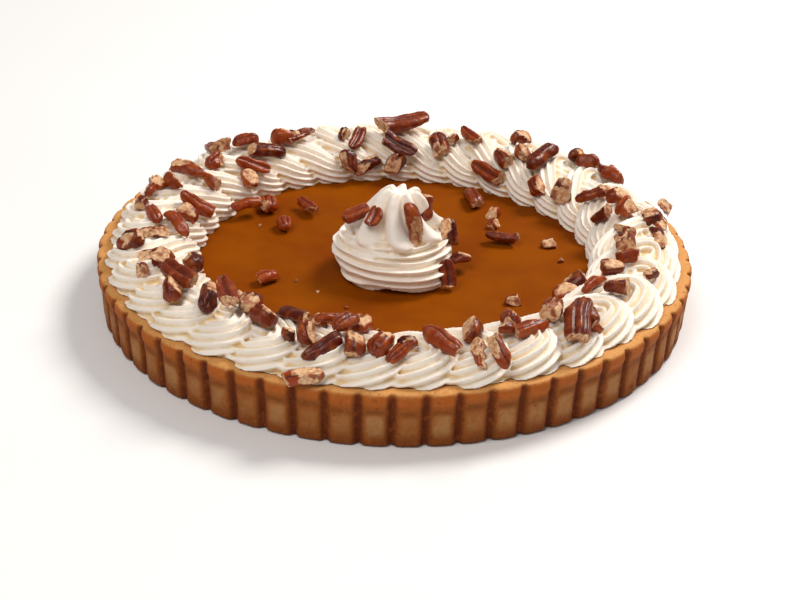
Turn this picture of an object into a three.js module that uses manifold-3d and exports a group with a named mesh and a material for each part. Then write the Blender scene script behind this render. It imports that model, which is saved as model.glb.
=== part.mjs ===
// Fluted tart with an orange-brown filling, a piped ring and rosette of whipped cream, and pecans.
// Millimetres, Z up, base on Z = 0, the tart's middle on the Z axis.
import * as THREE from 'three';
import { mergeVertices } from 'three/addons/utils/BufferGeometryUtils.js';
import Module from 'manifold-3d';

// Driving dimensions
const DIAMETER = 280;
const HEIGHT = 27;
const GAP = 0.3;
const SLIVER = 0.15;

// Crust
const FLUTES = 62;
const FLUTE_FACE = 0.7;
const FLUTE_DEPTH = 2.2;
const FLUTE_BOW = 0.35;
const FIRST_GROOVE = 270.5;
const FOOT_INSET = 3.6;
const FOOT_RISE = 1.6;
const LIP_HEIGHT = 6;
const LIP_PROUD = 1;
const LIP_ROUND = 1.9;
const FLOOR = 5;
const CAVITY_TOP_RADIUS = 129.5;
const CAVITY_FLOOR_RADIUS = 127.5;

// Filling
const FILLING_TOP = 20;
const FILLING_SIDES = 62;

// Piped ring
const SWIRLS = 34;
const SWIRL_COLUMNS = 4;
const RING_ROWS = 7;
const RING_RADIUS = 113;
const RING_DRIFT = 1.8;
const RING_DRIFT_ANGLE = 270;
const RING_HALF_WIDTH = 21.5;
const RING_MIDDLE_HEIGHT = 22;
const RING_RISE = 18;
const INNER_FOOT_TURN = -95;
const OUTER_FOOT_TURN = 75;
const SWIRL_REACH = 13;
const SWIRL_BULGE = 2;
const RIDGES = [-2.3, 0.8, -0.7, 1.7];

// Rosette: a coil round a tower
const ROSETTE_X = 0.5;
const ROSETTE_Y = -11;
const ROSETTE_TURNS = 1.5;
const ROSETTE_COIL = 19.5;
const ROSETTE_CLOSING = 0.36;
const ROSETTE_TUBE = 10.5;
const ROSETTE_TUBE_END = 8.5;
const ROSETTE_FLATNESS = 0.85;
const ROSETTE_START = 27.6;
const ROSETTE_CLIMB = 9.5;
const ROSETTE_FIRST_ANGLE = 325;
const ROSETTE_STEP = 22.5;
const ROSETTE_RIDGES = 6;
const ROSETTE_RIDGE_DEPTH = 0.14;
const TOWER = [[18, 20], [18, 38], [15.5, 44], [12.6, 50], [10.8, 56], [9, 60.5], [5, 62]];
const TOWER_LOBES = 7;
const TOWER_LOBE_DEPTH = 0.15;
const TOWER_TWIST = -1.6;

// Pecans
const PECAN_SLENDER = 0.46;
const PECAN_DEPTH = 0.35;
const PECAN_SINK = 2.2;
const LIFT_STEP = 0.7;
const LIFT_LIMIT = 12;

// Pecans on the ring: angle round the tart, distance from its middle, turn from the ring's run,
// length and kind. A half is a whole kernel half, a piece is broken off at one end.
const ON_RING = [
  [18, 137, -57, 18, 'half'],
  [22, 102, 64, 16, 'half'],
  [32, 95, -13, 16, 'piece'],
  [33, 124, -71, 18, 'half'],
  [47, 107, -87, 23, 'half'],
  [60, 92, -15, 19, 'half'],
  [70, 108, -39, 17, 'half'],
  [78, 100, -69, 16, 'piece'],
  [89, 110, 23, 29, 'half'],
  [90, 96, -32, 21, 'half'],
  [100, 90, 31, 16, 'half'],
  [102, 101, 64, 16, 'half'],
  [118, 108, 12, 18, 'half'],
  [130, 103, -27, 20, 'half'],
  [133, 114, -22, 15, 'piece'],
  [138, 98, -43, 19, 'half'],
  [138, 123, 80, 22, 'half'],
  [146, 109, 11, 15, 'piece'],
  [154, 113, 85, 21, 'half'],
  [169, 98, -73, 20, 'half'],
  [181, 113, 20, 16, 'half'],
  [185, 102, 35, 18, 'half'],
  [191, 113, -88, 16, 'half'],
  [202, 116, -88, 15, 'half'],
  [216, 115, 4, 24, 'half'],
  [227, 115, -55, 23, 'half'],
  [233, 116, -36, 21, 'half'],
  [247, 105, -23, 20, 'half'],
  [255, 135, 19, 18, 'half'],
  [256, 105, 27, 15, 'half'],
  [257, 125, 49, 19, 'half'],
  [260, 112, 64, 15, 'piece'],
  [272, 123, 46, 16, 'half'],
  [280, 118, -59, 23, 'half'],
  [287, 126, 88, 17, 'half'],
  [290, 128, -81, 17, 'half'],
  [300, 118, 7, 19, 'half'],
  [310, 122, 45, 29, 'half'],
  [327, 105, -9, 17, 'half'],
  [356, 123, 12, 17, 'half'],
  [359, 107, 23, 16, 'half'],
];

// Pecans lying on the filling, given in the same way
const ON_FILLING = [
  [20, 55, 62, 17, 'half'],
  [59, 75, -47, 19, 'half'],
  [132, 65, 83, 16, 'half'],
  [142, 80, 46, 15, 'piece'],
  [151, 84, -34, 16, 'half'],
  [152, 61, 34, 13, 'piece'],
  [206, 65, -80, 13, 'piece'],
];

// Pecans stuck in the rosette: X, Y and Z of the middle, turn, slope, length and kind
const ON_ROSETTE = [
  [4.5, -24, 47, 175, 78, 25, 'half'],
  [13, -8, 50, 80, 60, 15, 'piece'],
  [24.5, -9, 39, 100, 62, 14, 'piece'],
  [31, -10, 24, 10, 5, 12, 'piece'],
  [23.5, -26, 26, 105, 60, 14, 'piece'],
  [-17, -14, 46, 20, 15, 15, 'piece'],
  [-9, -21, 49, 70, 25, 12, 'piece'],
];

// Small chips pressed into the ring: angle, distance from the middle and length
const RING_CHIPS = [
  [5, 121, 10],
  [9, 111, 10],
  [10, 100, 9],
  [16, 111, 9],
  [29, 122, 10],
  [38, 121, 10],
  [41, 93, 9],
  [42, 122, 9],
  [53, 105, 9],
  [57, 99, 10],
  [58, 118, 9],
  [91, 90, 10],
  [106, 92, 10],
  [123, 109, 10],
  [142, 94, 9],
  [155, 100, 8],
  [163, 113, 9],
  [164, 120, 8],
  [176, 99, 9],
  [194, 122, 10],
  [206, 114, 9],
  [209, 103, 10],
  [219, 122, 10],
  [236, 109, 10],
  [242, 115, 10],
  [253, 120, 9],
  [263, 122, 10],
  [263, 104, 10],
  [268, 121, 10],
  [287, 114, 10],
  [297, 111, 10],
  [308, 112, 10],
  [327, 117, 10],
  [327, 93, 10],
  [333, 93, 10],
  [335, 108, 9],
  [342, 111, 9],
  [350, 108, 10],
];

// Small chips stuck to the filling: angle, distance from the middle and length
const FILLING_CHIPS = [
  [13, 76, 8],
  [38, 61, 8],
  [46, 69, 9],
  [322, 69, 8],
];

const CRUST = { color: 0xcf9a58, roughness: 0.8, metalness: 0 };
const FILLING = { color: 0x98540a, roughness: 0.4, metalness: 0 };
const CREAM = { color: 0xf3efe6, roughness: 0.5, metalness: 0 };
const PECAN = { color: 0x6f3418, roughness: 0.45, metalness: 0 };

const wasm = await Module();
wasm.setup();

const radians = (degrees) => (degrees * Math.PI) / 180;

// Returns a repeatable source of numbers from 0 to 1.
function seeded(seed) {
  let state = seed;
  return () => {
    state = (state * 16807) % 2147483647;
    return state / 2147483647;
  };
}

function toSolid(geometry) {
  const bare = geometry.clone();
  bare.deleteAttribute('normal');
  bare.deleteAttribute('uv');
  const merged = mergeVertices(bare, 1e-3);
  return new wasm.Manifold(new wasm.Mesh({
    numProp: 3,
    vertProperties: new Float32Array(merged.attributes.position.array),
    triVerts: new Uint32Array(merged.index.array),
  }));
}

function toGeometry(solid) {
  const mesh = solid.getMesh();
  const geometry = new THREE.BufferGeometry();
  geometry.setAttribute('position', new THREE.BufferAttribute(mesh.vertProperties, 3));
  geometry.setIndex(new THREE.BufferAttribute(mesh.triVerts, 1));
  geometry.computeVertexNormals();
  return geometry;
}

// Joins rows of points into a closed skin. Each row is a loop with the same number of points.
// Ends either meet each other or are closed by a fan round their first point.
function skin(rows, joinEnds) {
  const count = rows[0].length;
  const positions = rows.flat().flatMap((point) => [point.x, point.y, point.z]);
  const faces = [];
  const bands = joinEnds ? rows.length : rows.length - 1;
  for (let row = 0; row < bands; row += 1) {
    const here = row * count;
    const next = ((row + 1) % rows.length) * count;
    for (let i = 0; i < count; i += 1) {
      const j = (i + 1) % count;
      faces.push(here + i, here + j, next + j, here + i, next + j, next + i);
    }
  }
  if (!joinEnds) {
    const last = (rows.length - 1) * count;
    for (let i = 1; i < count - 1; i += 1) {
      faces.push(0, i + 1, i, last, last + i, last + i + 1);
    }
  }
  const geometry = new THREE.BufferGeometry();
  geometry.setAttribute('position', new THREE.Float32BufferAttribute(positions, 3));
  geometry.setIndex(faces);
  return geometry;
}

function turned(outline, sides, firstAngle = 0) {
  const points = outline.map(([radius, height]) => new THREE.Vector2(radius, height));
  const geometry = new THREE.LatheGeometry(points, sides);
  geometry.rotateX(Math.PI / 2);
  geometry.rotateZ(radians(firstAngle));
  return toSolid(geometry);
}

// Merges slivers and keeps the largest body, so that no loose scrap is left.
function largest(solid) {
  const loose = solid.decompose();
  return loose.reduce((best, piece) => (piece.volume() > best.volume() ? piece : best));
}

function tidied(solid) {
  const plain = largest(solid.simplify(SLIVER));
  return largest(toSolid(toGeometry(plain)));
}

function polar(angle, radius, height) {
  const turn = radians(angle);
  return new THREE.Vector3(radius * Math.cos(turn), radius * Math.sin(turn), height);
}

// Crust: a fluted wall with a proud lip, hollowed for the filling
function makeCrust() {
  const outer = DIAMETER / 2;
  const profile = [
    [outer - FOOT_INSET, 0],
    [outer - FOOT_INSET + FOOT_RISE, FOOT_RISE],
    [outer - LIP_PROUD, HEIGHT - LIP_HEIGHT - LIP_PROUD],
    [outer, HEIGHT - LIP_HEIGHT],
    [outer, HEIGHT - LIP_ROUND],
    [outer - LIP_ROUND, HEIGHT],
  ];
  const pitch = 360 / FLUTES;
  const flute = [[0, FLUTE_DEPTH], [1 - FLUTE_FACE, FLUTE_BOW], [1, 0], [1 + FLUTE_FACE, FLUTE_BOW]];
  const rows = profile.map(([radius, height]) => {
    const row = [];
    for (let i = 0; i < FLUTES; i += 1) {
      flute.forEach(([across, inset]) => {
        row.push(polar(FIRST_GROOVE + (i + across / 2) * pitch, radius - inset, height));
      });
    }
    return row;
  });
  const middle = (height) => rows[0].map(() => new THREE.Vector3(0, 0, height));
  const block = toSolid(skin([middle(0), ...rows, middle(HEIGHT)], false));
  const slope = (CAVITY_TOP_RADIUS - CAVITY_FLOOR_RADIUS) / (HEIGHT - FLOOR);
  const cavity = turned([
    [0, FLOOR],
    [CAVITY_FLOOR_RADIUS, FLOOR],
    [CAVITY_TOP_RADIUS + slope, HEIGHT + 1],
    [0, HEIGHT + 1],
  ], FILLING_SIDES, FIRST_GROOVE);
  return block.subtract(cavity);
}

function cavityRadius(height) {
  const share = (height - FLOOR) / (HEIGHT - FLOOR);
  return THREE.MathUtils.lerp(CAVITY_FLOOR_RADIUS, CAVITY_TOP_RADIUS, share);
}

function makeFilling() {
  return turned([
    [0, FLOOR + GAP],
    [cavityRadius(FLOOR) - GAP, FLOOR + GAP],
    [cavityRadius(FILLING_TOP) - GAP, FILLING_TOP],
    [0, FILLING_TOP],
  ], FILLING_SIDES, FIRST_GROOVE);
}

// Distance of the ring's middle line from the tart's middle. It was piped a little off centre.
function ringRadius(angle) {
  return RING_RADIUS + RING_DRIFT * Math.cos(radians(angle - RING_DRIFT_ANGLE));
}

// One point of the ring's skin. The turn runs from the inner foot over the crest to the outer foot.
function ringPoint(angle, turn, push, swirl) {
  const lean = radians(turn);
  const across = Math.sin(lean) * (RING_HALF_WIDTH + swirl.wide + push);
  const up = Math.cos(lean) * (RING_RISE + swirl.high + push);
  return polar(angle, ringRadius(angle) + swirl.shift + across, RING_MIDDLE_HEIGHT + up);
}

// One section across the ring. The inner foot stands on the filling and the outer one on the crust.
function ringSection(start, share, push, swirl) {
  const section = [];
  for (let j = 0; j <= RING_ROWS; j += 1) {
    const turn = THREE.MathUtils.lerp(INNER_FOOT_TURN, OUTER_FOOT_TURN, j / RING_ROWS);
    const across = turn / INNER_FOOT_TURN;
    const bow = Math.sqrt(1 - (0.95 * across) ** 2) * SWIRL_REACH;
    const angle = start + THREE.MathUtils.radToDeg(bow / RING_RADIUS);
    const bulge = SWIRL_BULGE * Math.abs(across) * Math.sin(Math.PI * (share + 0.1));
    section.push(ringPoint(angle, turn, push + bulge, swirl));
  }
  section[0].z = FILLING_TOP + GAP;
  section[RING_ROWS].z = HEIGHT + GAP;
  section.push(polar(start, cavityRadius(HEIGHT) - GAP, HEIGHT + GAP));
  section.push(polar(start, cavityRadius(FILLING_TOP) - GAP, FILLING_TOP + GAP));
  return section;
}

// Ring: swirls that lie over each other like shingles, each with ridges bowed along the ring
function makeRing() {
  const draw = seeded(4711);
  const swirls = Array.from({ length: SWIRLS }, () => ({
    early: (draw() - 0.5) * 1.6,
    wide: (draw() - 0.5) * 2.2,
    high: (draw() - 0.5) * 2.6,
    shift: (draw() - 0.5) * 1.4,
  }));
  const columns = SWIRLS * SWIRL_COLUMNS;
  const sections = Array.from({ length: columns }, (_, i) => {
    const swirl = swirls[Math.floor(i / SWIRL_COLUMNS)];
    const step = i % SWIRL_COLUMNS;
    const start = (360 * (i + 0.5)) / columns + swirl.early;
    return ringSection(start, step / SWIRL_COLUMNS, RIDGES[step], swirl);
  });
  return toSolid(skin(sections, true));
}

// Rosette: a ridged rope of cream coiled clockwise, then drawn up as a lobed tower
function rosetteSection(share) {
  const angle = ROSETTE_FIRST_ANGLE - 360 * ROSETTE_TURNS * share;
  const coil = ROSETTE_COIL * (1 - ROSETTE_CLOSING * share ** 2);
  const tube = THREE.MathUtils.lerp(ROSETTE_TUBE, ROSETTE_TUBE_END, share);
  const height = ROSETTE_START + ROSETTE_CLIMB * share;
  const section = [];
  for (let i = 0; i < ROSETTE_RIDGES * 2; i += 1) {
    const around = (180 * i) / ROSETTE_RIDGES;
    const size = tube * (1 + ROSETTE_RIDGE_DEPTH * (i % 2 ? -1 : 1));
    const out = size * Math.cos(radians(around));
    const up = size * Math.sin(radians(around)) * ROSETTE_FLATNESS;
    section.push(polar(angle, coil + out, height + up));
  }
  return section;
}

function makeTower() {
  const points = TOWER_LOBES * 2;
  const rows = TOWER.map(([radius, height]) => Array.from({ length: points }, (_, i) => {
    const size = radius * (1 + TOWER_LOBE_DEPTH * (i % 2 ? -1 : 1));
    return polar((360 * i) / points + TOWER_TWIST * height, size, height);
  }));
  return toSolid(skin(rows, false));
}

function makeRosette() {
  const steps = Math.round((360 * ROSETTE_TURNS) / ROSETTE_STEP);
  const part = Math.round(240 / ROSETTE_STEP);
  let body = makeTower();
  for (let first = 0; first < steps; first += part) {
    const rows = [];
    for (let i = first; i <= Math.min(first + part + 1, steps); i += 1) {
      rows.push(rosetteSection(i / steps));
    }
    body = body.add(toSolid(skin(rows, false)));
  }
  const below = new THREE.BoxGeometry(200, 200, 40);
  below.translate(0, 0, FILLING_TOP + GAP - 20);
  return body.subtract(toSolid(below)).translate([ROSETTE_X, ROSETTE_Y, 0]);
}

// Pecan: rounded above, flat below, along X. A piece ends in a slanted break.
function pecanShape(length, kind, grow) {
  const long = length / 2 + grow;
  const width = (kind === 'half' ? length * PECAN_SLENDER : length * 0.62) / 2;
  const deep = kind === 'half' ? length * PECAN_DEPTH : length * 0.42;
  const stations = kind === 'half'
    ? [[-1, 0.42], [-0.55, 0.95], [0.5, 0.95], [1, 0.36]]
    : [[-1, 0.45], [-0.5, 0.92], [0.9, 1]];
  const section = [[1, 0.12], [0.74, 0.7], [0, 1], [-0.76, 0.66], [-1, 0.1]];
  const rows = stations.map(([along, size]) => section.map(([across, up]) => {
    const slant = kind === 'half' ? 0 : up * 0.25 * (along > 0 ? 1 : 0);
    const y = across * (width * size + grow);
    const z = up * (deep * (0.35 + 0.65 * size) + grow * 2) - grow;
    return new THREE.Vector3((along - slant) * long, y, z);
  }));
  return toSolid(skin(rows, false));
}

// Chip: a broken lump with uneven corners
function chipShape(length, draw) {
  const geometry = new THREE.BoxGeometry(length, length * 0.68, length * 0.6);
  const bare = geometry.deleteAttribute('normal').deleteAttribute('uv');
  const lump = mergeVertices(bare, 1e-3);
  const corners = lump.attributes.position;
  const uneven = () => 0.7 + 0.5 * draw();
  for (let i = 0; i < corners.count; i += 1) {
    const [x, y, z] = [corners.getX(i), corners.getY(i), corners.getZ(i)];
    corners.setXYZ(i, x * uneven(), y * uneven(), z * uneven());
  }
  return toSolid(lump);
}

function placed(solid, matrix) {
  return solid.transform(matrix.elements);
}

// Height and lean of the ring's top at an angle and a distance from the tart's middle
function ringSurface(angle, radius) {
  const share = (radius - ringRadius(angle)) / RING_HALF_WIDTH;
  const across = THREE.MathUtils.clamp(share, -0.93, 0.93);
  const lean = Math.asin(across);
  const height = RING_MIDDLE_HEIGHT + RING_RISE * Math.cos(lean);
  const slope = THREE.MathUtils.clamp(-Math.tan(lean) * (RING_RISE / RING_HALF_WIDTH), -1.1, 1.1);
  return { height, slope };
}

function lyingOnRing(angle, radius, turn, lift) {
  const { height, slope } = ringSurface(angle, radius);
  const out = polar(angle, 1, 0);
  const along = polar(angle + 90, 1, 0);
  const up = new THREE.Vector3(0, 0, 1).addScaledVector(out, -slope).normalize();
  const across = new THREE.Vector3().crossVectors(up, along).normalize();
  const frame = new THREE.Matrix4().makeBasis(along, across, up);
  frame.multiply(new THREE.Matrix4().makeRotationZ(radians(turn)));
  frame.setPosition(polar(angle, radius, height).addScaledVector(up, lift));
  return frame;
}

function lyingFlat(angle, radius, turn, height) {
  const frame = new THREE.Matrix4().makeRotationZ(radians(angle + 90 + turn));
  frame.setPosition(polar(angle, radius, height));
  return frame;
}

function stuckIn([x, y, z, turn, slope]) {
  const frame = new THREE.Matrix4().makeRotationZ(radians(turn));
  frame.multiply(new THREE.Matrix4().makeRotationY(radians(-slope)));
  frame.setPosition(x, y, z);
  return frame;
}

const crust = makeCrust();
let filling = makeFilling();
let ring = makeRing();
let rosette = makeRosette();

const pecans = [];
const overlaps = (one, other) => one.intersect(other).volume() > 0;

// Adds a pecan and the room it needs, lifted until it is clear of the crust and the ones below.
function addPecan(length, kind, frameAt) {
  const shape = pecanShape(length, kind, 0);
  const room = pecanShape(length, kind, GAP);
  for (let lift = 0; lift < LIFT_LIMIT; lift += LIFT_STEP) {
    const frame = frameAt(lift);
    const space = placed(room, frame);
    const blocked = overlaps(space, crust) || pecans.some((other) => overlaps(space, other.solid));
    if (!blocked) {
      pecans.push({ solid: placed(shape, frame), space });
      return;
    }
  }
}

ON_FILLING.forEach(([angle, radius, turn, length, kind]) => {
  addPecan(length, kind, (lift) => lyingFlat(angle, radius, turn, FILLING_TOP + GAP + lift));
});
ON_ROSETTE.forEach((row) => {
  addPecan(row[5], row[6], (lift) => stuckIn([row[0], row[1], row[2] + lift, row[3], row[4]]));
});
ON_RING.forEach(([angle, radius, turn, length, kind]) => {
  addPecan(length, kind, (lift) => lyingOnRing(angle, radius, turn, lift - PECAN_SINK));
});

const chipDraw = seeded(1907);
RING_CHIPS.forEach(([angle, radius, length]) => {
  const frame = lyingOnRing(angle, radius, 360 * chipDraw(), length * 0.2);
  ring = ring.add(placed(chipShape(length, chipDraw), frame));
});
FILLING_CHIPS.forEach(([angle, radius, length]) => {
  const frame = lyingFlat(angle, radius, 360 * chipDraw(), FILLING_TOP + length * 0.2);
  filling = filling.add(placed(chipShape(length, chipDraw), frame));
});

pecans.forEach(({ space }) => {
  ring = ring.subtract(space);
  rosette = rosette.subtract(space);
  filling = filling.subtract(space);
});

const group = new THREE.Group();

function addMesh(name, solid, look) {
  const mesh = new THREE.Mesh(toGeometry(solid), new THREE.MeshStandardMaterial(look));
  mesh.name = name;
  group.add(mesh);
}

addMesh('crust', crust, CRUST);
addMesh('filling', tidied(filling), FILLING);
addMesh('cream_ring', tidied(ring), CREAM);
addMesh('cream_rosette', tidied(rosette), CREAM);
pecans.forEach(({ solid }, i) => {
  addMesh(`pecan_${String(i + 1).padStart(2, '0')}`, solid, PECAN);
});

export default group;
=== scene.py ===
import math

import bmesh
import bpy
import numpy as np
from mathutils import Matrix, Vector, noise


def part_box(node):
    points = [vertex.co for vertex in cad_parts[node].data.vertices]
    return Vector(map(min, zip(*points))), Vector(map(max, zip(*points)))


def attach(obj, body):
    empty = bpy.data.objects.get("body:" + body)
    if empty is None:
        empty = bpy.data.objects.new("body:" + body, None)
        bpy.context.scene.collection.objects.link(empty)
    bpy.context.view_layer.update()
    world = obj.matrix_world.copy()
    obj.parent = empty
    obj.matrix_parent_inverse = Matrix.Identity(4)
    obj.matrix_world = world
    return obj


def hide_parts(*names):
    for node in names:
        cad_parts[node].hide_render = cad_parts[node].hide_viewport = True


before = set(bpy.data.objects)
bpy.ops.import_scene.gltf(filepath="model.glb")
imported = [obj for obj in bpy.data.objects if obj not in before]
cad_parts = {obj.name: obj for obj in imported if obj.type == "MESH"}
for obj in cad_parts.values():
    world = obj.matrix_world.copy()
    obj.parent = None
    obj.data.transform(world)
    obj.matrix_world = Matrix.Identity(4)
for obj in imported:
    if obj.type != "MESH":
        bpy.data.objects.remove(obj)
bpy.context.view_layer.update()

# Sizes are in millimetres and are turned into metres where a mesh is made.
MM = 0.001
TAU = 2 * math.pi

# Camera: the photo's angle, fitted to the rim
CAMERA_ELEVATION = 27.75
CAMERA_ROLL = 1.65
CAMERA_DISTANCE = 900.0
CAMERA_AIM = (3.2, 0.0, -2.5)
CAMERA_LENS = 84.6

crust_low, crust_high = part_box("crust")
OUTER = crust_high[0] / MM
RIM = crust_high[2] / MM
FILLING_TOP = 20.0
CAVITY_TOP = 129.5
FLOOR = 5.0

# Crust
FLUTES = 62
FIRST_GROOVE = 270.5
FLUTE_FACE = 0.68
FLUTE_DEPTH = 2.1
FLUTE_BOW = 0.35
FLUTE_COLUMNS = 22
FLUTE_UNEVENNESS = 0.4
FOOT_INSET = 5.5
FOOT_WIDTH = 3.2
FOOT_HEIGHT = 1.9
WALL_FOOT_INSET = 2.3
WALL_TOP_INSET = 1.1
WALL_TOP = 20.0
LIP_BULGE = 1.0
LIP_INSET = 0.1
LIP_FOOT = 24.0
LIP_WIDTH = 3.0
LIP_ROUND = 2.85
LEDGE_START = 3.1
LEDGE_END = 9.6
LEDGE_HEIGHT = 26.85
LEDGE_CROWN = 0.1
INNER_FOOT = 18.5
SKIN_INSET = 0.25
FOOT_ROWS = 5
WALL_ROWS = 20
LIP_ROWS = 9
LEDGE_ROWS = 8
INNER_ROWS = 7

# Soft bands of colour on the crust: where each starts or ends, and how wide its edge is.
# Those across a flute are shares of half its width, and those up the wall are heights.
# The groove bands darken the flutes' grooves: partly browning, partly painted shade in the hollows.
GROOVE_ACROSS = (0.56, 0.3)
GROOVE_TOP = (26.6, 2.0)
LEDGE_FOOT = (24.6, 1.8)
LIP_TOP = (26.6, 1.6)
LIP_EDGE = 18.0
LIP_EDGE_WIDTH = 3.0
BLOTCH_ACROSS = (0.72, 0.35)
BLOTCH_FOOT = (2.5, 5)
BLOTCH_TOP = (18.5, 4)
# The band under the lip is a painted shadow, as the lip would cast on the face below it.
LIP_SHADOW_ACROSS = (0.8, 0.3)
LIP_SHADOW_HEIGHT = 17.2
LIP_SHADOW_WIDTH = 1.5

# Filling
FILLING_COLUMNS = 240
FILLING_RINGS = 84
FILLING_CENTRE = 0.6
FILLING_RADIUS = 128.4
FILLING_FOOT_RADIUS = 127.3
FILLING_SETTLING = 0.3

# Piped ring
SWIRLS = 34
RING_RADIUS = 113.0
RING_DRIFT = 1.8
RING_DRIFT_ANGLE = 270.0
LOOP_OUT = 11.0
LOOP_INWARD = 1.8
LOOP_ALONG = 11.0
LOOP_SKEW = 0.55
LOOP_HEIGHT = 25.0
LOOP_DIP = 2.0
LOOP_TILT = 6.0
ROPE = 9.8
ROPE_TAPER = 0.15
ROPE_RIDGES = 15
ROPE_RIDGE_DEPTH = 0.23
ROPE_TWIST = 4.0
LOOP_STEPS = 30
CREAM_VOXEL = 0.6
CREAM_TRIANGLES = 190000
CREAM_SKIRT = 1.2
EARLY_JITTER = 2.0
OUT_JITTER = 1.6
HIGH_JITTER = 2.0
WIDE_JITTER = 0.12
CORE_STEPS = 180
CORE_HEIGHT = 27.2
CORE_WAVE = 0.8
CORE_WAVES = 17
CORE_RADIUS = 10.0
CORE_RIDGE_DEPTH = 0.12
CORE_TWIST = 1.0
DOME_HALF_WIDTH = 21.5
DOME_FOOT = 22.0
DOME_RISE = 18.0
DOME_SHARE = 0.93
DOME_STEEPEST = 1.1

# Rosette: a coil round a tower
ROSETTE_X = 0.5
ROSETTE_Y = -11.0
ROSETTE_TURNS = 1.5
ROSETTE_COIL = 19.5
ROSETTE_CLOSING = 0.36
ROSETTE_TUBE = 10.9
ROSETTE_TUBE_END = 8.8
ROSETTE_FLATNESS = 0.85
ROSETTE_START = 27.6
ROSETTE_CLIMB = 9.5
ROSETTE_TILT = 2.2
ROSETTE_FIRST_ANGLE = 325.0
ROSETTE_RIDGES = 13
ROSETTE_RIDGE_DEPTH = 0.32
TOWER_HEIGHTS = [20, 38, 40.5, 42.5, 45, 48, 51, 54, 57, 59.5, 61.3]
TOWER_RADII = [14.5, 15.5, 19.2, 18.8, 16.2, 13.9, 12.2, 10.7, 8.9, 6.6, 3.2]
TOWER_LOBES = 7
TOWER_LOBE_DEPTH = 0.27
TOWER_TWIST = -2.0
TOWER_FOOT = 20
TOWER_TOP = 60.4
TOWER_ROWS = 70
TOWER_ROUNDING = 54
TOWER_ROUNDING_RUN = 6.4
TOWER_TIP_RADIUS = 1.5
TOWER_TIP_HEIGHT = 58.0
TOWER_LEAN = 2.6
TOWER_LEAN_START = 44
TOWER_LEAN_RUN = 17
FOLD_STEPS = 60
FOLD_ANGLES = (262.0, 188.0)
FOLD_RADII = (19.0, 21.0)
FOLD_HEIGHTS = (24.0, 25.5)
FOLD_TUBE = 8.6
FOLD_RIDGES = 10

# Seeds of the random draws
CRUST_SEED = 62
LOOP_SEED = 4711
PECAN_SEED = 2024
CHIP_TURN_SEED = 1907
CHIP_SHAPE_SEED = 77
SCATTER_SEED = 311
SKIPPED_DRAWS = 24

# Crumbs and bits too small for the solids, scattered by seeded draws
CRUMBS = 8
CRUMB_NEAREST = 46.0
CRUMB_FARTHEST = 82.0
CRUMB_SHORTEST = 1.2
CRUMB_LONGEST = 3.4
BITS = 23
BIT_SPREAD = 15.0
BIT_SHORTEST = 7.0
BIT_LONGEST = 9.0

# Chips' sizes beside their length, and how far they stand out of what they lie on
CHIP_WIDTH = 0.76
CHIP_DEPTH = 0.66
RING_CHIP_SCALE = 1.25
RING_CHIP_STANDING = 0.25
FILLING_CHIP_STANDING = 0.2
CRUMB_STANDING = 0.15
BIT_STANDING = 0.2
CHIP_FINENESS = 0.6
CRUMB_FINENESS = 0.3
BIT_FINENESS = 0.5

# Chips on the ring and on the filling, as in the solids: angle, distance from the middle and length
RING_CHIPS = [
    (5, 121, 10),
    (9, 111, 10),
    (10, 100, 9),
    (16, 111, 9),
    (29, 122, 10),
    (38, 121, 10),
    (41, 93, 9),
    (42, 122, 9),
    (53, 105, 9),
    (57, 99, 10),
    (58, 118, 9),
    (91, 90, 10),
    (106, 92, 10),
    (123, 109, 10),
    (142, 94, 9),
    (155, 100, 8),
    (163, 113, 9),
    (164, 120, 8),
    (176, 99, 9),
    (194, 122, 10),
    (206, 114, 9),
    (209, 103, 10),
    (219, 122, 10),
    (236, 109, 10),
    (242, 115, 10),
    (253, 120, 9),
    (263, 122, 10),
    (263, 104, 10),
    (268, 121, 10),
    (287, 114, 10),
    (297, 111, 10),
    (308, 112, 10),
    (327, 117, 10),
    (327, 93, 10),
    (333, 93, 10),
    (335, 108, 9),
    (342, 111, 9),
    (350, 108, 10),
]

FILLING_CHIPS = [
    (13, 76, 8),
    (38, 61, 8),
    (46, 69, 9),
    (322, 69, 8),
]


def seeded(seed):
    """A repeatable source of numbers from 0 to 1, the same as the solids use."""
    state = seed
    while True:
        state = (state * 16807) % 2147483647
        yield state / 2147483647


def lerp(a, b, share):
    return a + (b - a) * share


def polar(angle, radius, height):
    turn = np.radians(angle)
    return np.stack([radius * np.cos(turn), radius * np.sin(turn), height + 0 * turn], -1)


def ripple(points, scale, seed=0.0):
    """Smooth noise from -1 to 1 at each point, where scale is the size of a lump."""
    shift = Vector((seed, seed * 1.7, seed * 2.3))
    return np.array([noise.noise(Vector(p) / scale + shift) for p in points])


def make_mesh(name, points, faces, smooth=True):
    mesh = bpy.data.meshes.new(name)
    mesh.from_pydata([tuple(p) for p in np.asarray(points) * MM], [], faces)
    mesh.validate()
    mesh.polygons.foreach_set("use_smooth", [smooth] * len(mesh.polygons))
    mesh.update()
    thing = bpy.data.objects.new(name, mesh)
    bpy.context.scene.collection.objects.link(thing)
    return thing


def set_attribute(thing, name, values):
    layer = thing.data.attributes.new(name, "FLOAT", "POINT")
    layer.data.foreach_set("value", np.asarray(values, dtype=np.float32))


def grid_faces(rows, columns, close_rows=False):
    """Quads of a grid whose columns run round and meet."""
    faces = []
    bands = rows if close_rows else rows - 1
    for r in range(bands):
        here = r * columns
        above = ((r + 1) % rows) * columns
        for c in range(columns):
            d = (c + 1) % columns
            faces.append((here + c, here + d, above + d, above + c))
    return faces


def finish_piece(thing, slot, material, *nodes):
    thing.data.materials.clear()
    thing.data.materials.append(material)
    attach(thing, "root")
    if nodes:
        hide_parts(*nodes)
    return thing


# Materials
def srgb(r, g, b):
    def linear(v):
        v = v / 255
        return v / 12.92 if v <= 0.04045 else ((v + 0.055) / 1.055) ** 2.4
    return (linear(r), linear(g), linear(b), 1.0)


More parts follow.
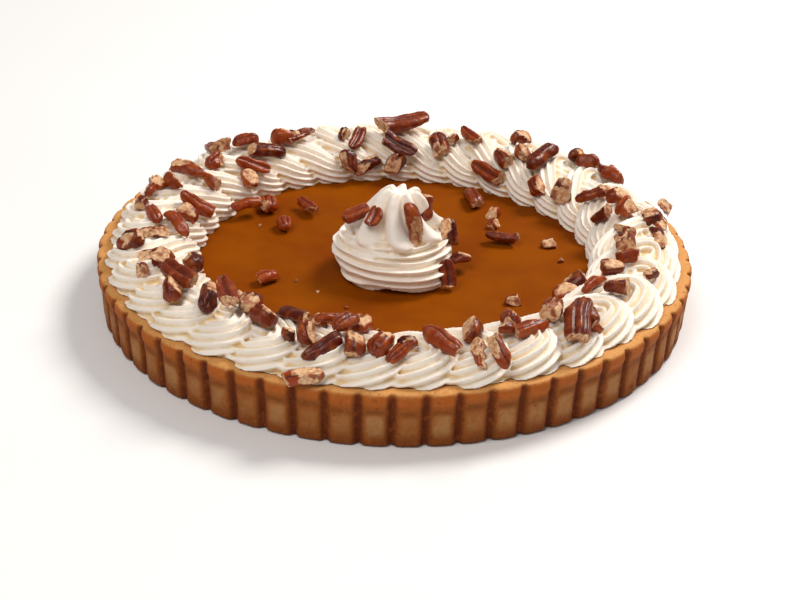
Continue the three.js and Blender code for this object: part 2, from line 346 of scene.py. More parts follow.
class Shader:
    """A short way to write a node material."""

    def __init__(self, name):
        self.material = bpy.data.materials.new(name)
        self.material.use_nodes = True
        self.tree = self.material.node_tree
        self.principled = self.tree.nodes["Principled BSDF"]
        self.place = self.tree.nodes.new("ShaderNodeTexCoord").outputs["Object"]

    def link(self, value, socket):
        if hasattr(value, "is_output"):
            self.tree.links.new(value, socket)
        else:
            socket.default_value = value

    def noise(self, scale, detail=3.0, roughness=0.5):
        node = self.tree.nodes.new("ShaderNodeTexNoise")
        node.inputs["Scale"].default_value = scale
        node.inputs["Detail"].default_value = detail
        node.inputs["Roughness"].default_value = roughness
        self.link(self.place, node.inputs["Vector"])
        return node.outputs["Fac"]

    def voronoi(self, scale):
        node = self.tree.nodes.new("ShaderNodeTexVoronoi")
        node.inputs["Scale"].default_value = scale
        self.link(self.place, node.inputs["Vector"])
        return node.outputs["Distance"]

    def attribute(self, name):
        node = self.tree.nodes.new("ShaderNodeAttribute")
        node.attribute_name = name
        return node.outputs["Fac"]

    def ramp(self, value, low, high, to_low=0.0, to_high=1.0):
        node = self.tree.nodes.new("ShaderNodeMapRange")
        node.interpolation_type = "SMOOTHSTEP"
        self.link(value, node.inputs["Value"])
        node.inputs["From Min"].default_value = low
        node.inputs["From Max"].default_value = high
        node.inputs["To Min"].default_value = to_low
        node.inputs["To Max"].default_value = to_high
        return node.outputs["Result"]

    def math(self, operation, a, b):
        node = self.tree.nodes.new("ShaderNodeMath")
        node.operation = operation
        node.use_clamp = operation in ("ADD", "SUBTRACT")
        self.link(a, node.inputs[0])
        self.link(b, node.inputs[1])
        return node.outputs[0]

    def mix(self, share, a, b):
        node = self.tree.nodes.new("ShaderNodeMix")
        node.data_type = "RGBA"
        self.link(share, node.inputs[0])
        self.link(a, node.inputs[6])
        self.link(b, node.inputs[7])
        return node.outputs[2]

    def bump(self, height, distance, strength=1.0, below=None):
        node = self.tree.nodes.new("ShaderNodeBump")
        node.inputs["Distance"].default_value = distance * MM
        node.inputs["Strength"].default_value = strength
        self.link(height, node.inputs["Height"])
        if below is not None:
            self.link(below, node.inputs["Normal"])
        return node.outputs["Normal"]

    def done(self, colour, roughness, normal=None, **fixed):
        self.link(colour, self.principled.inputs["Base Color"])
        self.link(roughness, self.principled.inputs["Roughness"])
        if normal is not None:
            self.link(normal, self.principled.inputs["Normal"])
        for socket, value in fixed.items():
            self.principled.inputs[socket.replace("_", " ")].default_value = value
        return self.material


def crust_material():
    s = Shader("crust")
    tan = srgb(210, 150, 86)
    face = srgb(150, 84, 32)
    grey = srgb(172, 124, 76)
    brown = srgb(176, 92, 32)
    dark = srgb(94, 36, 6)
    fine = s.noise(900, 4.0, 0.6)
    broad = s.noise(110, 3.0)
    patch = s.noise(240, 3.0, 0.6)
    height = s.tree.nodes.new("ShaderNodeSeparateXYZ")
    s.link(s.place, height.inputs["Vector"])
    mottled = s.math("MULTIPLY", s.attribute("blotch"), s.ramp(patch, 0.25, 0.6, 0.55, 1.0))
    wall = s.mix(s.ramp(mottled, 0.1, 0.9, 0.0, 0.9), face, grey)
    # Painted shade: the wall turns darker towards its foot.
    foot_shade = s.ramp(height.outputs["Z"], 0.0, 0.011, 0.6, 0.0)
    wall = s.mix(foot_shade, wall, srgb(112, 52, 10))
    # Painted shadow under the lip: a darker brown band across each face.
    wall = s.mix(s.math("MULTIPLY", s.attribute("under"), 0.6), wall, srgb(110, 56, 14))
    colour = s.mix(s.attribute("ledge"), wall, tan)
    edge = s.math("MULTIPLY", s.attribute("lip"), s.ramp(patch, 0.3, 0.65, 0.6, 1.0))
    colour = s.mix(edge, colour, brown)
    # Darker grooves: partly browning, partly painted shade in the flutes' hollows.
    groove = s.math("MULTIPLY", s.attribute("groove"), s.ramp(broad, 0.2, 0.8, 1.0, 0.8))
    colour = s.mix(groove, colour, dark)
    browned = s.ramp(s.noise(300, 4.0, 0.65), 0.5, 0.7, 0.0, 0.35)
    colour = s.mix(browned, colour, brown)
    more_on_ledge = s.ramp(s.attribute("ledge"), 0.0, 1.0, 0.15, 1.0)
    grainy = s.math("MULTIPLY", s.ramp(fine, 0.54, 0.75, 0.0, 0.45), more_on_ledge)
    colour = s.mix(grainy, colour, srgb(238, 196, 132))
    specks = s.ramp(s.noise(520, 2.0), 0.66, 0.74, 0.0, 0.5)
    colour = s.mix(specks, colour, dark)
    grain = s.bump(fine, 0.35, 0.8)
    pits = s.bump(s.voronoi(420), 0.3, 0.5, grain)
    rough = s.ramp(broad, 0.3, 0.7, 0.62, 0.8)
    return s.done(colour, rough, pits, Specular_IOR_Level=0.15)


def filling_material():
    s = Shader("filling")
    base = srgb(137, 68, 0)
    deep = srgb(124, 56, 0)
    colour = s.mix(s.ramp(s.noise(35, 3.0), 0.3, 0.7), deep, base)
    speck = s.ramp(s.voronoi(260), 0.0, 0.16, 1.0, 0.0)
    speck = s.math("MULTIPLY", speck, s.ramp(s.noise(140, 2.0), 0.5, 0.6))
    colour = s.mix(s.math("MULTIPLY", speck, 0.6), colour, srgb(88, 36, 0))
    bump = s.bump(s.noise(420, 4.0, 0.6), 0.25, 0.35)
    bump = s.bump(s.noise(60, 2.0), 0.6, 0.35, bump)
    return s.done(colour, s.ramp(s.noise(90, 2.0), 0.3, 0.7, 0.5, 0.62), bump, Specular_IOR_Level=0.03)


def cream_material():
    s = Shader("cream")
    white = srgb(250, 240, 228)
    shaded_cream = srgb(232, 204, 154)
    soft = s.noise(140, 2.0)
    # Painted shade: the cream's hollows are tinted a darker warm yellow.
    colour = s.mix(s.ramp(s.attribute("crease_shade"), 0.05, 0.9), white, shaded_cream)
    bump = s.bump(s.noise(700, 3.0, 0.55), 0.12, 0.35)
    return s.done(
        colour, s.ramp(soft, 0.3, 0.7, 0.42, 0.55), bump,
        Subsurface_Weight=0.15, Subsurface_Radius=(0.003, 0.002, 0.0012),
        Subsurface_Scale=1.0, Specular_IOR_Level=0.35,
    )


def pecan_material():
    s = Shader("pecan")
    light = srgb(152, 58, 10)
    dark = srgb(74, 14, 4)
    furrow = srgb(50, 10, 6)
    tan = srgb(180, 112, 66)
    pale = srgb(226, 186, 144)
    broad = s.noise(210, 3.0)
    streak = s.noise(620, 4.0, 0.6)
    colour = s.mix(s.attribute("tone"), dark, light)
    colour = s.mix(s.ramp(broad, 0.45, 0.68, 0.0, 0.5), colour, srgb(178, 88, 30))
    colour = s.mix(s.ramp(streak, 0.5, 0.7, 0.0, 0.4), colour, dark)
    colour = s.mix(s.ramp(s.attribute("furrow"), 0.1, 0.9, 0.0, 0.7), colour, furrow)
    flesh = s.mix(s.ramp(streak, 0.42, 0.66, 0.0, 0.9), pale, tan)
    flesh = s.mix(s.ramp(broad, 0.5, 0.66, 0.0, 0.85), flesh, srgb(136, 58, 20))
    colour = s.mix(s.attribute("pale"), colour, flesh)
    bump = s.bump(streak, 0.35, 0.6)
    bump = s.bump(broad, 0.8, 0.4, bump)
    rough = s.mix(s.attribute("pale"), s.ramp(streak, 0.3, 0.7, 0.2, 0.36), (0.6, 0.6, 0.6, 1.0))
    return s.done(colour, rough, bump, Specular_IOR_Level=0.32)


# Making the crust
def shares(count):
    """Even shares up to 1, without the 0 that the row before already stands for."""
    return np.linspace(0, 1, count)[1:]


def crust_profile():
    """Rows up the outside, over the ledge and down the inside: distance in from the rim, height and
    the share of the flutes' depth."""
    rows = []
    for share in np.linspace(0, 1, FOOT_ROWS):
        turn = share * math.pi / 2
        rows.append((FOOT_INSET - FOOT_WIDTH * math.sin(turn), FOOT_HEIGHT * (1 - math.cos(turn)), 1.0))
    for share in shares(WALL_ROWS):
        inset = lerp(WALL_FOOT_INSET, WALL_TOP_INSET, share)
        rows.append((inset, lerp(FOOT_HEIGHT, WALL_TOP, share), 1.0))
    for share in shares(LIP_ROWS):
        inset = WALL_TOP_INSET - LIP_BULGE * math.sin(share * math.pi / 2) ** 0.7
        rows.append((inset, lerp(WALL_TOP, LIP_FOOT, share), 1.0))
    for share in shares(LIP_ROWS):
        turn = share * math.pi / 2
        inset = LIP_INSET + LIP_WIDTH * (1 - math.cos(turn))
        rows.append((inset, LIP_FOOT + LIP_ROUND * math.sin(turn), 1.0 - 0.5 * share))
    for share in shares(LEDGE_ROWS):
        height = LEDGE_HEIGHT + LEDGE_CROWN * math.sin(share * math.pi)
        rows.append((lerp(LEDGE_START, LEDGE_END, share), height, 0.5 * (1.0 - share) ** 2))
    for share in shares(INNER_ROWS):
        inset = lerp(LEDGE_END, OUTER - CAVITY_TOP + 1.0, share)
        rows.append((inset, lerp(LEDGE_HEIGHT, INNER_FOOT, share ** 1.5), 0.0))
    return np.array(rows)


def rising(values, start, width):
    """0 up to the start, and from there up to 1 over the width."""
    return np.clip((values - start) / width, 0, 1)


def falling(values, end, width):
    """1 at first, then down over the width to 0 at the end."""
    return np.clip((end - values) / width, 0, 1)


def flute_inset(across):
    """A nearly flat face with a narrow groove at each side."""
    face = np.minimum(np.abs(across) / FLUTE_FACE, 1)
    groove = np.clip((np.abs(across) - FLUTE_FACE) / (1 - FLUTE_FACE), 0, 1)
    return FLUTE_BOW * face ** 2.5 + (FLUTE_DEPTH - FLUTE_BOW) * groove ** 1.5 * (2.5 - 1.5 * groove)


def make_crust():
    profile = crust_profile()
    columns = FLUTES * FLUTE_COLUMNS
    angle = FIRST_GROOVE + np.arange(columns) * 360.0 / columns
    across = (np.arange(columns) % FLUTE_COLUMNS) / FLUTE_COLUMNS * 2 - 1
    lobe = np.arange(columns) // FLUTE_COLUMNS
    draw = seeded(CRUST_SEED)
    lobe_size = np.array([next(draw) for _ in range(FLUTES)])[lobe]
    lobe_tone = np.array([next(draw) for _ in range(FLUTES)])[lobe]
    points = []
    groove = []
    ledge = []
    lip = []
    blotch = []
    under = []
    inset = flute_inset(across)
    off_middle = np.abs(across)
    for row_inset, height, fluted in profile:
        uneven = FLUTE_UNEVENNESS * lobe_size * fluted
        radius = OUTER - row_inset - SKIN_INSET - uneven - inset * fluted
        points.append(polar(angle, radius, np.full(columns, height)))
        # Groove mask: partly browning, partly painted shade between the flutes.
        groove.append(rising(off_middle, *GROOVE_ACROSS) * falling(height, *GROOVE_TOP))
        ledge.append(np.full(columns, rising(height, *LEDGE_FOOT)))
        edge = LIP_EDGE + 1.6 * off_middle ** 2 + lobe_size * 2.4
        lip.append(rising(height, edge, LIP_EDGE_WIDTH) * falling(height, *LIP_TOP))
        level = rising(height, *BLOTCH_FOOT) * falling(height, *BLOTCH_TOP)
        blotch.append(falling(off_middle, *BLOTCH_ACROSS) * level * (0.45 + 0.55 * lobe_tone))
        # Painted shadow of the lip, in a band just below it across the face.
        below = LIP_SHADOW_HEIGHT + lobe_size * 2.0 - 1.4 * off_middle ** 2
        lip_shadow = np.exp(-((height - below) / LIP_SHADOW_WIDTH) ** 2)
        under.append(lip_shadow * falling(off_middle, *LIP_SHADOW_ACROSS))
    points = np.concatenate(points)
    lump = ripple(points, 9.0) * 0.35
    crumb = ripple(points, 1.5, 3.0) * 0.2 + ripple(points, 0.8, 5.0) * 0.1
    pit = np.clip(ripple(points, 2.6, 9.0) - 0.42, 0, 1) * 1.6
    relief = lump + crumb - pit - 0.3
    radius = np.hypot(points[:, 0], points[:, 1])
    heights = points[:, 2]
    on_top = np.clip((heights - 25.5) / 1.0, 0, 1)
    points[:, :2] *= (1 + relief * (1 - on_top) / radius)[:, None]
    points[:, 2] += np.clip(relief, -0.7, 0) * on_top
    low = heights < 1.0
    points[:, 2] = np.where(low, np.maximum(points[:, 2], 0), points[:, 2])
    rows = len(profile)
    faces = grid_faces(rows, columns)
    centre = len(points)
    points = np.vstack([points, [[0, 0, 0]], [[0, 0, INNER_FOOT]]])
    last = (rows - 1) * columns
    for c in range(columns):
        d = (c + 1) % columns
        faces.append((centre, d, c))
        faces.append((centre + 1, last + c, last + d))
    crust = make_mesh("tart_crust", points, faces)
    looks = {"groove": groove, "ledge": ledge, "lip": lip, "blotch": blotch, "under": under}
    for look, values in looks.items():
        set_attribute(crust, look, np.concatenate(values + [[0, 0]]))
    return finish_piece(crust, "crust", crust_material(), "crust")


# Making the filling
def make_filling():
    columns = FILLING_COLUMNS
    radii = np.concatenate([[FILLING_CENTRE], np.linspace(2, 128, FILLING_RINGS), [FILLING_RADIUS]])
    angle = np.arange(columns) * 360.0 / columns
    rings = [polar(angle, radius, np.full(columns, FILLING_TOP)) for radius in radii]
    rings.append(polar(angle, FILLING_FOOT_RADIUS, np.full(columns, FLOOR + 0.3)))
    points = np.concatenate(rings)
    top = np.arange(len(points)) < len(radii) * columns
    soft = ripple(points, 28.0) * 0.25 + ripple(points, 9.0, 4.0) * 0.08
    points[:, 2] += np.where(top, soft - FILLING_SETTLING, 0)
    rows = len(rings)
    faces = [tuple(reversed(face)) for face in grid_faces(rows, columns)]
    faces.append(tuple(range(columns)))
    faces.append(tuple(reversed(range((rows - 1) * columns, rows * columns))))
    filling = make_mesh("pumpkin_filling", points, faces)
    return finish_piece(filling, "filling", filling_material(), "filling")


# Making the cream
def rope(path, radius, ridges, depth, closed, twist=0.0, flat=1.0):
    """A ridged rope of cream along a path."""
    count = len(path)
    if closed:
        run = np.roll(path, -1, 0) - np.roll(path, 1, 0)
    else:
        run = np.gradient(path, axis=0)
    run /= np.linalg.norm(run, axis=1)[:, None]
    side = np.cross(run, [0, 0, 1.0])
    length = np.linalg.norm(side, axis=1)
    side /= np.maximum(length, 1e-6)[:, None]
    up = np.cross(side, run)
    per_ridge = 8
    around = np.arange(ridges * per_ridge) * TAU / (ridges * per_ridge)
    scallop = 1 - depth * (1 - (0.5 + 0.5 * np.cos(ridges * around)) ** 1.8)
    points = []
    for i in range(count):
        turn = around + twist * i / count * TAU
        size = radius[i] * scallop
        out = (size * np.cos(turn))[:, None] * side[i]
        points.append(path[i] + out + (size * np.sin(turn) * flat)[:, None] * up[i])
    columns = len(around)
    faces = grid_faces(count, columns, closed)
    if not closed:
        faces.append(tuple(reversed(range(columns))))
        faces.append(tuple(range((count - 1) * columns, count * columns)))
    return np.concatenate(points), faces


def ring_radius(angle):
    return RING_RADIUS + RING_DRIFT * np.cos(np.radians(angle - RING_DRIFT_ANGLE))


def loops_path():
    """Overlapping loops piped clockwise round the ring, each lying on the one before."""
    draw = seeded(LOOP_SEED)
    count = SWIRLS + 1
    early, out, high, wide = (np.array([next(draw) - 0.5 for _ in range(count)]) for _ in range(4))
    for series in (early, out, high, wide):
        series[-1] = series[0]
    total = SWIRLS * LOOP_STEPS
    share = np.arange(total) / LOOP_STEPS
    stops = np.arange(count)
    turn = share * TAU
    early = np.interp(share, stops, early) * EARLY_JITTER
    out = np.interp(share, stops, out) * OUT_JITTER
    high = np.interp(share, stops, high) * HIGH_JITTER
    wide = 1 + np.interp(share, stops, wide) * WIDE_JITTER
    along = LOOP_ALONG * wide * np.sin(turn) * (1 + LOOP_SKEW * np.cos(turn))
    angle = -share * 360.0 / SWIRLS + np.degrees((early + along) / RING_RADIUS)
    radius = ring_radius(angle) + out + LOOP_OUT * wide * np.cos(turn) - LOOP_INWARD * (1 - np.cos(turn))
    height = LOOP_HEIGHT + high + LOOP_TILT * np.sin(turn) - LOOP_DIP * (1 - np.cos(turn)) / 2
    return polar(angle, radius, height), ROPE * (1 + ROPE_TAPER * np.cos(turn))


def applied(thing):
    """The mesh of a thing with its modifiers applied. The thing itself is removed."""
    bpy.context.view_layer.update()
    graph = bpy.context.evaluated_depsgraph_get()
    mesh = bpy.data.meshes.new_from_object(thing.evaluated_get(graph))
    bpy.data.objects.remove(thing)
    return mesh


def spots_of(mesh):
    spots = np.empty(len(mesh.vertices) * 3)
    mesh.vertices.foreach_get("co", spots)
    return spots.reshape(-1, 3) / MM


def edges_of(mesh):
    edges = np.empty(len(mesh.edges) * 2, dtype=np.int64)
    mesh.edges.foreach_get("vertices", edges)
    return edges.reshape(-1, 2).T


def outer_shell(mesh):
    """True for each vertex joined to the one farthest out: the inside of crossing ropes is left out."""
    a, b = edges_of(mesh)
    label = np.arange(len(mesh.vertices))
    while True:
        before = label.copy()
        lowest = np.minimum(label[a], label[b])
        np.minimum.at(label, a, lowest)
        np.minimum.at(label, b, lowest)
        label = label[label]
        if (label == before).all():
            break
    spots = spots_of(mesh)
    farthest = int((spots ** 2).sum(1).argmax())
    return label == label[farthest]


def base_height(points):
    """Height of what cream rests on: the filling, or the crust's ledge beyond it."""
    radius = np.hypot(points[:, 0], points[:, 1])
    return np.where(radius > CAVITY_TOP - 0.5, RIM + 0.1, FILLING_TOP - 0.3)


def cream_skin(name, points, faces, most_triangles):
    """One skin round everything, even where the ropes cross, open where it rests on the tart."""
    rough = make_mesh(name + "_rough", points, faces)
    remesh = rough.modifiers.new("remesh", "REMESH")
    remesh.mode = "VOXEL"
    remesh.voxel_size = CREAM_VOXEL * MM
    mesh = applied(rough)
    spots = spots_of(mesh)
    keep = outer_shell(mesh) & (spots[:, 2] > base_height(spots) - CREAM_SKIRT)
    work = bmesh.new()
    work.from_mesh(mesh)
    work.verts.ensure_lookup_table()
    bmesh.ops.delete(work, geom=[v for v in work.verts if not keep[v.index]], context="VERTS")
    work.to_mesh(mesh)
    work.free()
    shell = bpy.data.objects.new(name + "_shell", mesh)
    bpy.context.scene.collection.objects.link(shell)
    smooth = shell.modifiers.new("smooth", "SMOOTH")
    smooth.factor = 0.5
    smooth.iterations = 1
    triangles = 2 * len(mesh.polygons)
    if triangles > most_triangles:
        lighter = shell.modifiers.new("lighter", "DECIMATE")
        lighter.ratio = most_triangles / triangles
    mesh = applied(shell)
    spots = spots_of(mesh)
    spots[:, 2] = np.maximum(spots[:, 2], base_height(spots))
    mesh.vertices.foreach_set("co", (spots * MM).ravel())
    mesh.update()
    return mesh


def crease_shade(mesh):
    """How far each vertex lies in a hollow, from 0 to 1, for the painted shade in the cream's creases."""
    count = len(mesh.vertices)
    spots = spots_of(mesh)
    normals = np.empty(count * 3)
    mesh.vertices.foreach_get("normal", normals)
    normals = normals.reshape(-1, 3)
    a, b = edges_of(mesh)
    degree = np.bincount(a, minlength=count) + np.bincount(b, minlength=count)

    def averaged(values):
        total = np.zeros_like(values)
        np.add.at(total, a, values[b])
        np.add.at(total, b, values[a])
        return total / degree.reshape((-1,) + (1,) * (values.ndim - 1))

    around = spots
    for _ in range(4):
        around = averaged(around)
    hollow = ((around - spots) * normals).sum(1)
    for _ in range(2):
        hollow = averaged(hollow)
    return np.clip(hollow / 0.4, 0, 1)


def cream_piece(name, points, faces, material, node):
    mesh = cream_skin(name, points, faces, CREAM_TRIANGLES)
    thing = bpy.data.objects.new(name, mesh)
    bpy.context.scene.collection.objects.link(thing)
    mesh.polygons.foreach_set("use_smooth", [True] * len(mesh.polygons))
    # Hollowness for the painted shade in the cream's creases.
    set_attribute(thing, "crease_shade", crease_shade(mesh))
    return finish_piece(thing, "cream", material, node)


def merged(parts):
    points = []
    faces = []
    for part_points, part_faces in parts:
        start = sum(len(p) for p in points)
        points.append(part_points)
        faces += [tuple(i + start for i in face) for face in part_faces]
    return np.concatenate(points), faces


def make_ring(material):
    path, thickness = loops_path()
    coil = rope(path, thickness, ROPE_RIDGES, ROPE_RIDGE_DEPTH, True, ROPE_TWIST)
    angle = np.arange(CORE_STEPS) * 2.0
    core_height = CORE_HEIGHT + CORE_WAVE * np.sin(np.radians(angle * CORE_WAVES))
    core_path = polar(angle, ring_radius(angle), core_height)
    core_radii = np.full(CORE_STEPS, CORE_RADIUS)
    core = rope(core_path, core_radii, ROPE_RIDGES, CORE_RIDGE_DEPTH, True, CORE_TWIST)
    points, faces = merged([coil, core])
    return cream_piece("whipped_cream_ring", points, faces, material, "cream_ring")


def tower():
    """Rows of lobed loops drawn up to an uneven top."""
    columns = TOWER_LOBES * 16
    turn = np.arange(columns) * TAU / columns
    crest = np.abs(np.cos(TOWER_LOBES * turn / 2)) ** 1.1
    lean = np.cos(turn)
    rows = []
    for height in np.linspace(TOWER_FOOT, TOWER_TOP, TOWER_ROWS):
        radius = np.interp(height, TOWER_HEIGHTS, TOWER_RADII)
        rounded = min(max((height - TOWER_ROUNDING) / TOWER_ROUNDING_RUN, 0), 1) ** 1.5
        size = radius * (1 + TOWER_LOBE_DEPTH * (2 * crest - 1) * (1 + 0.5 * rounded))
        angle = np.degrees(turn) + TOWER_TWIST * height
        rise = height + rounded * (crest * 2.2 - 1.6 + 0.6 * lean)
        rows.append(polar(angle, size, rise))
    tip_angle = np.degrees(turn) + TOWER_TWIST * 60
    rows.append(polar(tip_angle, TOWER_TIP_RADIUS + 0 * turn, TOWER_TIP_HEIGHT + 0 * turn))
    points = np.concatenate(rows)
    points[:, 0] += TOWER_LEAN * rising(points[:, 2], TOWER_LEAN_START, TOWER_LEAN_RUN) ** 1.5
    faces = grid_faces(len(rows), columns)
    faces.append(tuple(reversed(range(columns))))
    faces.append(tuple(range((len(rows) - 1) * columns, len(rows) * columns)))
    return points, faces


def make_rosette(material):
    steps = 200
    share = np.linspace(0, 1, steps)
    angle = ROSETTE_FIRST_ANGLE - 360.0 * ROSETTE_TURNS * share
    coil = ROSETTE_COIL * (1 - ROSETTE_CLOSING * share ** 2)
    tube = lerp(ROSETTE_TUBE, ROSETTE_TUBE_END, share) * np.clip(share / 0.04 + 0.75, 0.75, 1)
    tilt = ROSETTE_TILT * np.cos(np.radians(angle)) * (1 - share)
    wave = 0.7 * np.sin(share * 31) + 0.4 * np.sin(share * 53)
    path = polar(angle, coil + wave, ROSETTE_START + ROSETTE_CLIMB * share - tilt)
    swirl = rope(path, tube, ROSETTE_RIDGES, ROSETTE_RIDGE_DEPTH, False, 0.5, ROSETTE_FLATNESS)
    share = np.linspace(0, 1, FOLD_STEPS)
    fold_path = polar(lerp(*FOLD_ANGLES, share), lerp(*FOLD_RADII, share), lerp(*FOLD_HEIGHTS, share))
    fold_tube = FOLD_TUBE * np.sin(np.pi * (0.12 + 0.76 * share)) ** 0.5
    fold = rope(fold_path, fold_tube, FOLD_RIDGES, ROSETTE_RIDGE_DEPTH, False, 0.1, 0.9)
    points, faces = merged([swirl, fold, tower()])
    points[:, 0] += ROSETTE_X
    points[:, 1] += ROSETTE_Y
    return cream_piece("whipped_cream_rosette", points, faces, material, "cream_rosette")


# Making the pecans
def kernel(length, width, depth, draw, breaks, fine=1.0):
    """A pecan kernel along X: two furrows above and one channel below, broken off by planes."""
    stations = int(40 * fine)
    columns = int(40 * fine)
    station = -np.cos(np.linspace(0, math.pi, stations)) * 0.995
    blunt = 2.6 + 2.2 * next(draw)
    taper = (next(draw) - 0.5) * 0.3
    body = np.sqrt(1 - np.abs(station) ** blunt) * (1 + taper * station)
    turn = np.arange(columns) * TAU / columns
    y = np.sign(np.cos(turn)) * np.abs(np.cos(turn)) ** 0.85
    z = np.sin(turn)
    above = z > 0
    place = 0.0 if next(draw) > 0.5 else 0.36
    furrow = np.exp(-((np.abs(y) - place) / 0.15) ** 2) * above
    channel = np.exp(-(y / 0.28) ** 2) * ~above
    deep = 0.16 + 0.16 * next(draw)
    z = np.where(above, z * (1 - deep * furrow), z * 0.5 * (1 - 0.85 * channel))
    seed = next(draw) * 50
    rows = []
    for k in range(stations):
        along = np.full(columns, station[k]) * length / 2
        across = y * body[k] * width / 2
        up = z * body[k] ** 0.7 * depth / 1.3
        rows.append(np.stack([along, across, up], -1))
    points = np.concatenate(rows)
    hollow = np.tile(np.maximum(furrow, channel * 0.7), stations)
    lumps = ripple(points, width * 0.6, seed + 3) * width * 0.13
    wrinkle = ripple(points * [1.2, 0.55, 0.55], 1.5, seed) * 0.28 + ripple(points, 0.9, seed + 7) * 0.12
    outward = points * [0.25, 1, 1]
    size = np.linalg.norm(outward, axis=1)
    points += outward * ((wrinkle + lumps) / np.maximum(size, 1.5))[:, None]
    bend = (next(draw) - 0.5) * 0.5
    points[:, 1] += bend * (points[:, 0] ** 2) / length
    points[:, 2] -= 0.25 * (points[:, 0] ** 2) / length
    pale = np.zeros(len(points))
    for k in range(breaks):
        end = 1 if next(draw) > 0.5 else -1
        aslant = k > 0
        aim = np.array([
            end * (0.35 if aslant else 1.0),
            (next(draw) - 0.5) * (2.4 if aslant else 0.9),
            (0.3 + 0.7 * next(draw)) if aslant else (next(draw) - 0.4) * 0.9,
        ])
        aim /= np.linalg.norm(aim)
        depths = points @ aim
        cut = depths.max() * ((0.45 + 0.3 * next(draw)) if aslant else (0.5 + 0.35 * next(draw)))
        rough = ripple(points, 0.9, seed + 11) * 0.25 + ripple(points, 2.2, seed + 13 + k) * 0.6
        over = depths - cut - rough
        hit = over > 0
        points[hit] -= np.outer(over[hit], aim)
        pale[hit] = 1.0
    faces = [tuple(reversed(f)) for f in grid_faces(stations, columns)]
    faces.append(tuple(range(columns)))
    faces.append(tuple(reversed(range((stations - 1) * columns, stations * columns))))
    tone = np.full(len(points), next(draw))
    return points, faces, {"pale": pale, "tone": tone, "furrow": hollow * (1 - pale)}


def fitted(points, length, width, depth):
    """Scales a kernel to fill the room that its solid takes."""
    low = points.min(0)
    high = points.max(0)
    room = np.array([length, width, depth])
    return (points - (low + high) / 2) * (room / (high - low))


def solid_frame(node):
    """Middle, sizes and axes of a pecan's solid, whose flat underside is its largest plane."""
    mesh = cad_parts[node].data
    spots = np.array([v.co[:] for v in mesh.vertices]) / MM
    normals = np.array([p.normal[:] for p in mesh.polygons])
    areas = np.array([p.area for p in mesh.polygons])
    alike = normals @ normals.T > math.cos(math.radians(14))
    best = int((alike * areas[None, :]).sum(1).argmax())
    under = (normals * (areas * alike[best])[:, None]).sum(0)
    up = -under / np.linalg.norm(under)
    flat = spots - np.outer(spots @ up, up)
    flat = flat - flat.mean(0)
    _, _, axes = np.linalg.svd(flat, full_matrices=False)
    along = axes[0] - up * (axes[0] @ up)
    along /= np.linalg.norm(along)
    across = np.cross(up, along)
    axes = np.stack([along, across, up])
    local = spots @ axes.T
    low = local.min(0)
    high = local.max(0)
    return ((low + high) / 2) @ axes, high - low, axes


def make_pecans(material):
    draw = seeded(PECAN_SEED)
    names = sorted(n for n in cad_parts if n.startswith("pecan_"))
    for name in names:
        middle, size, axes = solid_frame(name)
        roll = next(draw)
        breaks = 1 if roll < 0.35 else 2 if roll < 0.75 else 3
        points, faces, looks = kernel(*size, draw, breaks)
        points = fitted(points, *size)
        if next(draw) > 0.75:
            points[:, 1:] *= -1
        if next(draw) > 0.5:
            points[:, :2] *= -1
        piece = make_mesh(name.replace("pecan_", "pecan_kernel_"), points @ axes + middle, faces)
        for look, values in looks.items():
            set_attribute(piece, look, values)
        finish_piece(piece, "pecan", material, name)


def ring_surface(angle, radius):
    """Height and lean of the ring's top, as the solids use it."""
    across = (radius - ring_radius(angle)) / DOME_HALF_WIDTH
    lean = math.asin(min(max(across, -DOME_SHARE), DOME_SHARE))
    height = DOME_FOOT + DOME_RISE * math.cos(lean)
    slope = -math.tan(lean) * (DOME_RISE / DOME_HALF_WIDTH)
    slope = min(max(slope, -DOME_STEEPEST), DOME_STEEPEST)
    return height, slope


def chip_axes(angle, turn, slope):
    out = Vector((math.cos(math.radians(angle)), math.sin(math.radians(angle)), 0))
    along = Vector((-out.y, out.x, 0))
    up = (Vector((0, 0, 1)) - out * slope).normalized()
    across = up.cross(along).normalized()
    basis = Matrix((along, across, up)).transposed() @ Matrix.Rotation(math.radians(turn), 3, "Z")
    return np.array(basis.transposed())


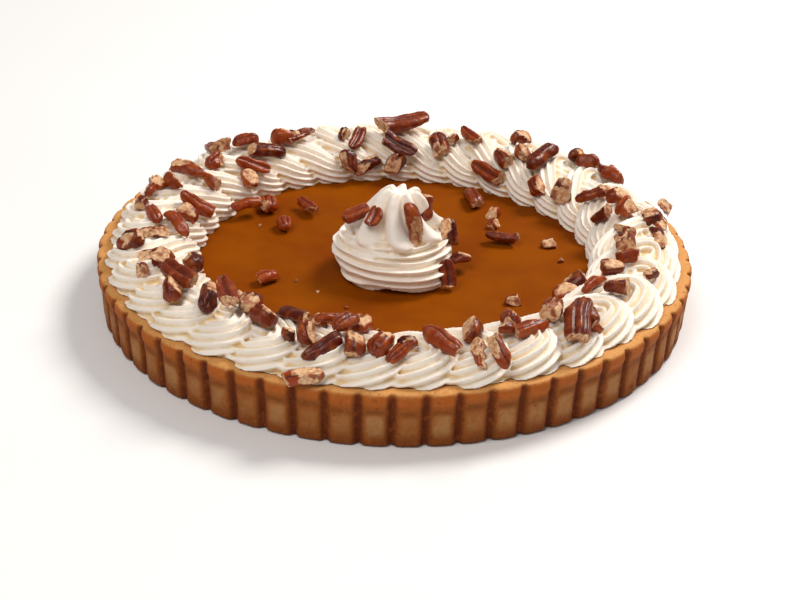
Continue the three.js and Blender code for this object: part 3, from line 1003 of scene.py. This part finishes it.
def make_chips(material):
    place_draw = seeded(CHIP_TURN_SEED)
    shape_draw = seeded(CHIP_SHAPE_SEED)
    parts = []
    looks = []

    def add(middle, axes, length, fine=CHIP_FINENESS):
        size = (length, length * CHIP_WIDTH, length * CHIP_DEPTH)
        points, faces, look = kernel(*size, shape_draw, 2, fine)
        points = fitted(points, *size)
        parts.append((points @ axes + middle, faces))
        looks.append(look)

    def next_turn():
        turn = 360 * next(place_draw)
        for _ in range(SKIPPED_DRAWS):
            next(place_draw)
        return turn

    for angle, radius, length in RING_CHIPS:
        height, slope = ring_surface(angle, radius)
        axes = chip_axes(angle, next_turn(), slope)
        middle = polar(angle, radius, height) + axes[2] * length * RING_CHIP_STANDING
        add(middle, axes, length * RING_CHIP_SCALE)
    for angle, radius, length in FILLING_CHIPS:
        axes = chip_axes(angle, next_turn(), 0.0)
        add(polar(angle, radius, FILLING_TOP + length * FILLING_CHIP_STANDING), axes, length)
    scatter_draw = seeded(SCATTER_SEED)
    for _ in range(CRUMBS):
        angle = 360 * next(scatter_draw)
        radius = lerp(CRUMB_NEAREST, CRUMB_FARTHEST, next(scatter_draw))
        length = lerp(CRUMB_SHORTEST, CRUMB_LONGEST, next(scatter_draw))
        axes = chip_axes(angle, next_turn(), 0.0)
        middle = polar(angle, radius, FILLING_TOP + length * CRUMB_STANDING)
        add(middle, axes, length, CRUMB_FINENESS)
    for k in range(BITS):
        angle = 360 * (k + next(scatter_draw)) / BITS
        radius = ring_radius(angle) + BIT_SPREAD * (2 * next(scatter_draw) - 1)
        length = lerp(BIT_SHORTEST, BIT_LONGEST, next(scatter_draw))
        height, slope = ring_surface(angle, radius)
        axes = chip_axes(angle, next_turn(), slope)
        middle = polar(angle, radius, height) + axes[2] * length * BIT_STANDING
        add(middle, axes, length, BIT_FINENESS)
    points, faces = merged(parts)
    chips = make_mesh("pecan_chips", points, faces)
    for look in looks[0]:
        set_attribute(chips, look, np.concatenate([each[look] for each in looks]))
    finish_piece(chips, "pecan", material)


# Floor, lights, camera and world
def make_floor():
    reach = 3000.0
    corners = [(-reach, -reach, 0), (reach, -reach, 0), (reach, reach, 0), (-reach, reach, 0)]
    floor = make_mesh("floor", np.array(corners), [(0, 1, 2, 3)], smooth=False)
    s = Shader("floor")
    colour = s.mix(s.ramp(s.noise(3, 2.0), 0.2, 0.8), srgb(246, 246, 246), srgb(240, 240, 240))
    floor.data.materials.append(s.done(colour, 0.7))


def add_light(name, azimuth, elevation, distance, size, power, colour):
    data = bpy.data.lights.new(name, "AREA")
    data.shape = "DISK"
    data.size = size * MM
    data.energy = power
    data.color = colour
    light = bpy.data.objects.new(name, data)
    bpy.context.scene.collection.objects.link(light)
    turn = math.radians(azimuth)
    rise = math.radians(elevation)
    way = Vector((math.cos(turn) * math.cos(rise), math.sin(turn) * math.cos(rise), math.sin(rise)))
    light.location = way * distance * MM
    light.rotation_euler = way.to_track_quat("Z", "Y").to_euler()


def make_camera():
    data = bpy.data.cameras.new("camera")
    data.lens = CAMERA_LENS
    data.sensor_width = 36.0
    camera = bpy.data.objects.new("camera", data)
    bpy.context.scene.collection.objects.link(camera)
    rise = math.radians(CAMERA_ELEVATION)
    back = Vector((0, -math.cos(rise), math.sin(rise)))
    facing = back.to_track_quat("Z", "Y").to_matrix()
    roll = Matrix.Rotation(math.radians(CAMERA_ROLL), 3, "Z")
    spot = (Vector(CAMERA_AIM) + back * CAMERA_DISTANCE) * MM
    camera.matrix_world = Matrix.Translation(spot) @ (facing @ roll).to_4x4()
    bpy.context.scene.camera = camera


def make_world():
    world = bpy.data.worlds.new("studio")
    world.use_nodes = True
    background = world.node_tree.nodes["Background"]
    background.inputs["Color"].default_value = (1.0, 0.985, 0.96, 1.0)
    background.inputs["Strength"].default_value = 0.26
    bpy.context.scene.world = world
    bpy.context.scene.view_settings.view_transform = "Standard"


make_camera()
make_world()
make_floor()
add_light("key", azimuth=40, elevation=52, distance=1500, size=600, power=20.0, colour=(1.0, 0.95, 0.9))
add_light("front", azimuth=240, elevation=58, distance=1600, size=900, power=11.0, colour=(1.0, 0.96, 0.93))
make_crust()
make_filling()
cream = cream_material()
make_ring(cream)
make_rosette(cream)
nut = pecan_material()
make_pecans(nut)
make_chips(nut)
